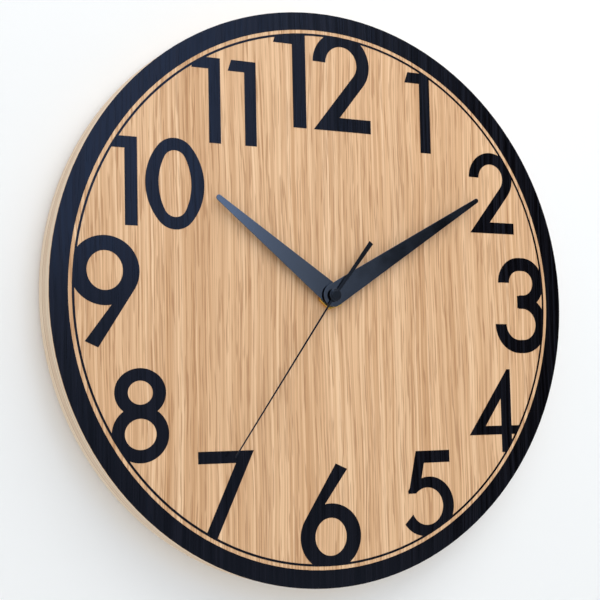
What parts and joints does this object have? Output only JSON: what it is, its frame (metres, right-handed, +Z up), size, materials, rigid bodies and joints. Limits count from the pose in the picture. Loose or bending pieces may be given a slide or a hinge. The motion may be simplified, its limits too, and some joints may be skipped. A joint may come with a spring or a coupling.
{
  "type": "wall clock",
  "caption": "Round wooden wall clock with a printed dial, hour, minute and second hands and a battery quartz movement.",
  "frame": {"origin": "middle of the bounding box, on the axis of the hands", "axes": "+Y into the wall, so the dial faces -Y; +Z up through 12; +X to the right of the dial, through 3"},
  "size_m": [0.3, 0.0262, 0.3],
  "materials": {
    "oak": "satin oak veneer",
    "ply": "sanded plywood edge",
    "ink": "matt printing ink",
    "steel": "zinc plated",
    "felt": "pressed felt",
    "rubber": "matt",
    "black_plastic": "moulded",
    "white_plastic": "natural acetal",
    "brass": "polished",
    "copper": "enamelled wire",
    "iron": "plain",
    "laminate": "phenolic laminate",
    "jacket": "plain sleeve",
    "hand": "gloss black"
  },
  "bodies": {
    "clock": {"face_veneer": "oak", "front_ply": "ply", "middle_ply": "ply", "back_ply": "ply", "border_print": "ink", "circle_print": "ink", "numeral_1": "ink", "numeral_2": "ink", "numeral_3": "ink", "numeral_4": "ink", "numeral_5": "ink", "numeral_6": "ink", "numeral_7": "ink", "numeral_8": "ink", "numeral_9": "ink", "numeral_10": "ink", "numeral_11": "ink", "numeral_12": "ink", "hanger_plate": "steel", "plate_screws": "steel", "wall_pads": "felt", "movement_case": "black_plastic", "centre_bush": "brass", "movement_cover": "black_plastic", "train_plate": "white_plastic", "gasket": "rubber", "dial_washer": "brass", "hex_nut": "brass", "coil_bobbin": "white_plastic", "coil_winding": "copper", "coil_core": "iron", "stator": "iron", "circuit_board": "laminate", "clock_chip": "black_plastic", "crystal_can": "steel", "positive_contact": "steel", "negative_contact": "steel"},
    "cell": {"cell_can": "steel", "cell_jacket": "jacket", "cell_cap": "steel"},
    "minute_group": {"centre_wheel": "white_plastic", "minute_hand": "hand"},
    "rotor": {"rotor_magnet": "iron", "rotor_pinion": "white_plastic"},
    "intermediate_group": {"intermediate_wheel": "white_plastic"},
    "seconds_group": {"seconds_wheel": "white_plastic", "seconds_arbor": "steel", "second_hand": "hand", "second_hand_cap": "hand"},
    "third_group": {"third_wheel": "white_plastic"},
    "reverse_group": {"reverse_wheel": "white_plastic", "setting_knob": "black_plastic"},
    "hour_group": {"hour_wheel": "white_plastic", "hour_hand": "hand"}
  },
  "joints": [
    {"name": "minute_hand_turn", "type": "hinge", "parent": "clock", "child": "minute_group", "pos_m": [0, 0, 0], "axis": [0, 1, 0], "continuous": true},
    {"name": "intermediate_spin", "type": "hinge", "parent": "clock", "child": "intermediate_group", "pos_m": [0.00226, 0, 0.00845], "axis": [0, 1, 0], "continuous": true},
    {"name": "rotor_spin", "type": "hinge", "parent": "clock", "child": "rotor", "pos_m": [-0.0002, 0, 0.01522], "axis": [0, 1, 0], "continuous": true},
    {"name": "seconds_spin", "type": "hinge", "parent": "clock", "child": "seconds_group", "pos_m": [0, 0, 0], "axis": [0, 1, 0], "continuous": true},
    {"name": "third_spin", "type": "hinge", "parent": "clock", "child": "third_group", "pos_m": [-0.00883, 0, 0.0051], "axis": [0, 1, 0], "continuous": true},
    {"name": "reverse_spin", "type": "hinge", "parent": "clock", "child": "reverse_group", "pos_m": [0.01015, 0, 0.00369], "axis": [0, 1, 0], "continuous": true},
    {"name": "hour_hand_turn", "type": "hinge", "parent": "clock", "child": "hour_group", "pos_m": [0, 0, 0], "axis": [0, 1, 0], "continuous": true},
    {"name": "cell_lift", "type": "slide", "parent": "clock", "child": "cell", "axis": [0, 1, 0], "range_m": [0, 0.03]}
  ],
  "couplings": [
    {"joint": "intermediate_spin", "follows": "minute_hand_turn", "ratio": -360},
    {"joint": "rotor_spin", "follows": "minute_hand_turn", "ratio": 1800},
    {"joint": "seconds_spin", "follows": "minute_hand_turn", "ratio": 60},
    {"joint": "third_spin", "follows": "minute_hand_turn", "ratio": -7.5},
    {"joint": "reverse_spin", "follows": "minute_hand_turn", "ratio": -0.33333},
    {"joint": "hour_hand_turn", "follows": "minute_hand_turn", "ratio": 0.083333}
  ]
}
